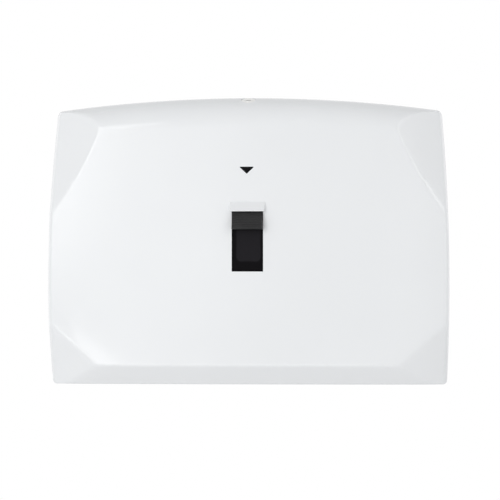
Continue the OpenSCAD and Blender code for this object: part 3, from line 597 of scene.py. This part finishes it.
moulding.to_mesh(front_shell.data)
moulding.free()
even_shade = front_shell.modifiers.new("even_shade", "WEIGHTED_NORMAL")
even_shade.keep_sharp = True
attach(front_shell, "cover")
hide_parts("front_cover")


# Arrow. It points down at the lever, and is pad-printed in black ink on the cover's face, a little
# to the left of the middle.
arrow_half, arrow_top, arrow_low = 0.0073, 0.0741, 0.0672
arrow_aside = -0.0007
arrow_round, ink_depth = 0.0005, 0.00004
arrow_tip_sweep, arrow_steps = 96, 6
arrow_base_sweep = (360 - arrow_tip_sweep) / 2
arrow_line = []
arrow_turn = 90
for corner_x, corner_z, sweep in (
    (-arrow_half + 2 * arrow_round, arrow_top - arrow_round, arrow_base_sweep),
    (0, arrow_low + arrow_round, arrow_tip_sweep),
    (arrow_half - 2 * arrow_round, arrow_top - arrow_round, arrow_base_sweep),
):
    for i in range(arrow_steps + 1):
        turn = math.radians(arrow_turn + i * sweep / arrow_steps)
        arrow_line.append((corner_x + arrow_round * math.cos(turn),
                           corner_z + arrow_round * math.sin(turn)))
    arrow_turn += sweep
ink_depths = (face_depth + ink_depth, face_depth - ink_depth)
arrow_points = [Vector((x + arrow_aside, -depth, z)) for depth in ink_depths for x, z in arrow_line]
arrow_sides = len(arrow_line)
arrow_faces = [tuple(range(arrow_sides)), tuple(range(arrow_sides, 2 * arrow_sides))]
for i in range(arrow_sides):
    k = (i + 1) % arrow_sides
    arrow_faces.append((i, k, arrow_sides + k, arrow_sides + i))
black_ink = start_finish("arrow_ink", (0.012, 0.012, 0.013), roughness=0.5)
sockets(black_ink)["Specular IOR Level"].default_value = 0.04
vary_colour(black_ink, grain(black_ink, size=0.0015, detail=3),
            dark=(0.003, 0.003, 0.0035), light=(0.007, 0.007, 0.008))
vary_roughness(black_ink, grain(black_ink, size=0.0008, detail=3), low=0.42, high=0.6)
printed_arrow = make_piece("printed_arrow", arrow_points, arrow_faces, black_ink)
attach(printed_arrow, "cover")


# Key lock. The housing and its plug are die-cast in zinc and plated; a nut holds the housing in the
# cover, and a screw holds the stamped cam to the plug.
lock_plate = start_finish("lock_chrome", (0.74, 0.74, 0.73), roughness=0.3, metallic=1.0)
vary_colour(lock_plate, grain(lock_plate, size=0.003, detail=3),
            dark=(0.7, 0.7, 0.69), light=(0.77, 0.77, 0.76))
vary_roughness(lock_plate, grain(lock_plate, size=0.0008, detail=3), low=0.24, high=0.36)
dress(lock_plate, "lock_housing", "lock_plug", "lock_nut", edge=0.0002)
dress(zinc_sheet, "lock_cam", edge=0.0002)
dress(ground_steel, "cam_screw", edge=0.0001)


# Slide frame. It is moulded in black ABS and four screws hold it behind the slot.
# The carriage runs on its two ground steel rods.
satin_black = start_finish("black_plastic", (0.014, 0.014, 0.015), roughness=0.45)
sockets(satin_black)["Specular IOR Level"].default_value = 0.08
vary_colour(satin_black, grain(satin_black, size=0.02, detail=3),
            dark=(0.006, 0.0055, 0.007), light=(0.01, 0.009, 0.0115))
vary_roughness(satin_black, grain(satin_black, size=0.004, detail=3), low=0.4, high=0.54)
emboss(satin_black, grain(satin_black, size=0.0004), depth=0.00002)
dress(satin_black, "slide_frame", edge=0.0003)
dress(ground_steel, "frame_screws", "guide_rods", edge=0.0002)


# Lever carriage. It is moulded in black ABS with the apron that keeps the slot closed, and slides
# down the rods on four acetal bushes. The apron's colour is painted darker round its edges as painted
# shade from the slot's walls.
def combine(tree, operation, *terms):
    """A value worked out from other values and plain numbers."""
    node = tree.nodes.new("ShaderNodeMath")
    node.operation = operation
    for socket, term in zip(node.inputs, terms):
        if isinstance(term, bpy.types.NodeSocket):
            tree.links.new(term, socket)
        else:
            socket.default_value = term
    return node.outputs["Value"]


# The pattern below leaves a middle patch lighter and darkens the colour round it, as painted shade.
def shade_margin_patch(finish, limits, fade):
    """A pattern that is 1 inside a patch, between limits on each axis, and fades to 0 round it."""
    tree = finish.node_tree
    place = tree.nodes.new("ShaderNodeTexCoord")
    parts = tree.nodes.new("ShaderNodeSeparateXYZ")
    tree.links.new(place.outputs["Object"], parts.inputs["Vector"])
    shares = []
    for axis, (low, high) in limits.items():
        offset = combine(tree, "SUBTRACT", parts.outputs[axis], (low + high) / 2)
        fall = tree.nodes.new("ShaderNodeMapRange")
        fall.interpolation_type = "SMOOTHSTEP"
        fall.inputs["From Min"].default_value = (high - low - fade) / 2
        fall.inputs["From Max"].default_value = (high - low + fade) / 2
        fall.inputs["To Min"].default_value = 1
        fall.inputs["To Max"].default_value = 0
        tree.links.new(combine(tree, "ABSOLUTE", offset), fall.inputs["Value"])
        shares.append(fall.outputs["Result"])
    return combine(tree, "MULTIPLY", *shares)


apron_black = start_finish("apron_black", (0.01, 0.01, 0.011), roughness=0.45)
sockets(apron_black)["Specular IOR Level"].default_value = 0.06
# Painted shade: the apron is coloured darker round a lighter middle patch, where the slot's sides and
# bottom shade it.
apron_unshaded_middle = shade_margin_patch(apron_black, limits={"X": (-0.0102, 0.0122), "Z": (-0.0195, 0.06)}, fade=0.008)
apron_painted_shade = combine(apron_black.node_tree, "MULTIPLY_ADD",
                     apron_unshaded_middle, grain(apron_black, size=0.011, detail=3), apron_unshaded_middle)
vary_colour(apron_black, apron_painted_shade, dark=(0.0015, 0.001, 0.002), light=(0.012, 0.011, 0.0135))
vary_roughness(apron_black, grain(apron_black, size=0.004, detail=3), low=0.4, high=0.54)
emboss(apron_black, grain(apron_black, size=0.0004), depth=0.00002)
dress(apron_black, "lever_carriage", edge=0.0003)
dress(acetal, "carriage_bushes", edge=0.0002)


# Return springs. They are two long springs of the same drawn wire, on the rods below the carriage.
# They lift it again. On the real case they close up as it comes down; here they are wound at one length
# and move with the carriage.
return_coil, return_wire = 0.0033, 0.0008
return_low, return_high = -0.0526, 0.0068
return_length = return_high - return_low
return_springs_low, return_springs_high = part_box("return_springs")
rod_x = return_springs_high.x - return_coil - return_wire / 2
rod_y = (return_springs_low.y + return_springs_high.y) / 2
rod_seats = [Vector((x, rod_y, return_low)) for x in (-rod_x, rod_x)]
return_coils = wind_springs("return_coils", rod_seats, up_axis, side_axis,
                            radius=return_coil, length=return_length, turns=14, wire=return_wire)
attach(return_coils, "carriage")
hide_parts("return_springs")
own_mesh(return_coils)


# Thumb lever. A ribbed wedge of black ABS with a round stem that runs through the carriage; the
# thumb presses it in and draws it down. A clip in the stem's groove keeps it in.
lever_black = start_finish("lever_black", (0.02, 0.02, 0.021), roughness=0.42)
sockets(lever_black)["Specular IOR Level"].default_value = 0.3
vary_colour(lever_black, grain(lever_black, size=0.01, detail=3),
            dark=(0.017, 0.017, 0.018), light=(0.024, 0.024, 0.025))
vary_roughness(lever_black, grain(lever_black, size=0.003, detail=3), low=0.36, high=0.5)
emboss(lever_black, grain(lever_black, size=0.0004), depth=0.00002)
dress(lever_black, "thumb_lever", edge=0.0002)
dress(drawn_wire, "stem_clip", edge=0.0001)


# Press spring. It is a short spring of the same drawn wire, round the lever's stem.
# It brings the lever out of the paper again. On the real case it closes up as the lever goes in; here it
# is wound at one length and moves with the lever.
press_back, press_front = -0.0598, -0.0727
press_length = press_back - press_front
press_spring_low, press_spring_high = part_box("press_spring")
stem_z = (press_spring_low.z + press_spring_high.z) / 2
press_coils = wind_springs("press_coils", [Vector((0, press_back, stem_z))], -back_axis, side_axis,
                           radius=0.0055, length=press_length, turns=3.5, wire=0.001)
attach(press_coils, "lever")
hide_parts("press_spring")
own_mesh(press_coils)


# Grip pad. It is moulded in soft black rubber with cross grooves, and bonded to the stem's end.
# It takes hold of the paper and draws it down with the lever.
grip_rubber = start_finish("grip_rubber", (0.03, 0.03, 0.03), roughness=0.8)
vary_colour(grip_rubber, grain(grip_rubber, size=0.005, detail=4),
            dark=(0.024, 0.024, 0.024), light=(0.038, 0.038, 0.037))
vary_roughness(grip_rubber, grain(grip_rubber, size=0.002, detail=3), low=0.7, high=0.9)
emboss(grip_rubber, grain(grip_rubber, size=0.0005, detail=3), depth=0.00005)
dress(grip_rubber, "grip_pad", edge=0.0003)


# Studio. A pale floor well below, even light all round, and seven softboxes: a large one in front
# on the left with a fill beside it, a narrow one on the right, a small one and a strip from below,
# and one at each side, a little behind the wall, that lights the case's edges.
floor_half, floor_z = 1.6, -0.6
floor_corners = [(-floor_half, -floor_half), (floor_half, -floor_half),
                 (floor_half, floor_half), (-floor_half, floor_half)]
floor_mesh = bpy.data.meshes.new("studio_floor")
floor_mesh.from_pydata([(x, y, floor_z) for x, y in floor_corners], [], [(0, 1, 2, 3)])
pale_floor = start_finish("studio_floor", (0.88, 0.88, 0.88), roughness=0.9)
vary_roughness(pale_floor, grain(pale_floor, size=0.2), low=0.85, high=0.95)
floor_tree = pale_floor.node_tree
floor_shader, floor_output = floor_tree.nodes["Principled BSDF"], floor_tree.nodes["Material Output"]
floor_side = floor_tree.nodes.new("ShaderNodeNewGeometry")
floor_clear = floor_tree.nodes.new("ShaderNodeBsdfTransparent")
floor_mix = floor_tree.nodes.new("ShaderNodeMixShader")
floor_tree.links.new(floor_side.outputs["Backfacing"], floor_mix.inputs["Fac"])
floor_tree.links.new(floor_shader.outputs["BSDF"], floor_mix.inputs[1])
floor_tree.links.new(floor_clear.outputs["BSDF"], floor_mix.inputs[2])
floor_tree.links.new(floor_mix.outputs["Shader"], floor_output.inputs["Surface"])
floor_mesh.materials.append(pale_floor)
floor = bpy.data.objects.new("studio_floor", floor_mesh)
bpy.context.scene.collection.objects.link(floor)


def add_softbox(name, place, width, height, power):
    """A rectangular soft light at a place, turned towards the case."""
    case_middle = Vector((0, -0.05, 0))
    lamp = bpy.data.lights.new(name, "AREA")
    lamp.shape = "RECTANGLE"
    lamp.size, lamp.size_y = width, height
    lamp.energy = power
    softbox = bpy.data.objects.new(name, lamp)
    softbox.location = place
    softbox.rotation_euler = (case_middle - Vector(place)).to_track_quat("-Z", "Y").to_euler()
    bpy.context.scene.collection.objects.link(softbox)


add_softbox("left_softbox", (-1.35, -2.6, 0.7), width=1.5, height=1.5, power=21)
add_softbox("left_fill", (-0.47, -3.0, 0.12), width=0.5, height=0.6, power=0.8)
add_softbox("right_softbox", (1.9, -2.0, 0.7), width=0.5, height=1.5, power=5.6)
add_softbox("low_left_spot", (-0.85, -2.9, -0.42), width=0.5, height=0.3, power=1.7)
add_softbox("low_strip", (-0.5, -1.6, -0.55), width=1.6, height=0.4, power=4.8)
add_softbox("right_rim", (1.8, 0.7, 0.2), width=1.2, height=1.4, power=6.5)
add_softbox("left_rim", (-1.8, 0.7, 0.2), width=1.2, height=1.4, power=3.5)

# The world is white to the camera and in reflections, and dimmer as light on the case.
room_light, room_white = 0.581, 1.0
studio_world = bpy.data.worlds.new("studio_world")
studio_world.use_nodes = True
bpy.context.scene.world = studio_world
world_tree = studio_world.node_tree
around = world_tree.nodes["Background"]
around.inputs["Color"].default_value = (1, 1, 1, 1)
ray = world_tree.nodes.new("ShaderNodeLightPath").outputs
seen = combine(world_tree, "MAXIMUM", ray["Is Camera Ray"], ray["Is Glossy Ray"])
seen = combine(world_tree, "MAXIMUM", seen, ray["Is Transmission Ray"])
level = world_tree.nodes.new("ShaderNodeMapRange")
level.inputs["To Min"].default_value = room_light
level.inputs["To Max"].default_value = room_white
world_tree.links.new(seen, level.inputs["Value"])
world_tree.links.new(level.outputs["Result"], around.inputs["Strength"])

# The camera stands level, about three metres in front of the case and a little to the right.
lens = bpy.data.cameras.new("long_lens")
lens.sensor_width = 36
lens.lens = 216.4
lens.dof.use_dof = False
lens.clip_end = 50
camera = bpy.data.objects.new("long_lens", lens)
camera.location = (0.1817, -3.066, -0.009)
camera.rotation_euler = (math.radians(90), 0, math.radians(3.425))
bpy.context.scene.collection.objects.link(camera)
bpy.context.scene.camera = camera
bpy.context.scene.view_settings.view_transform = "Standard"
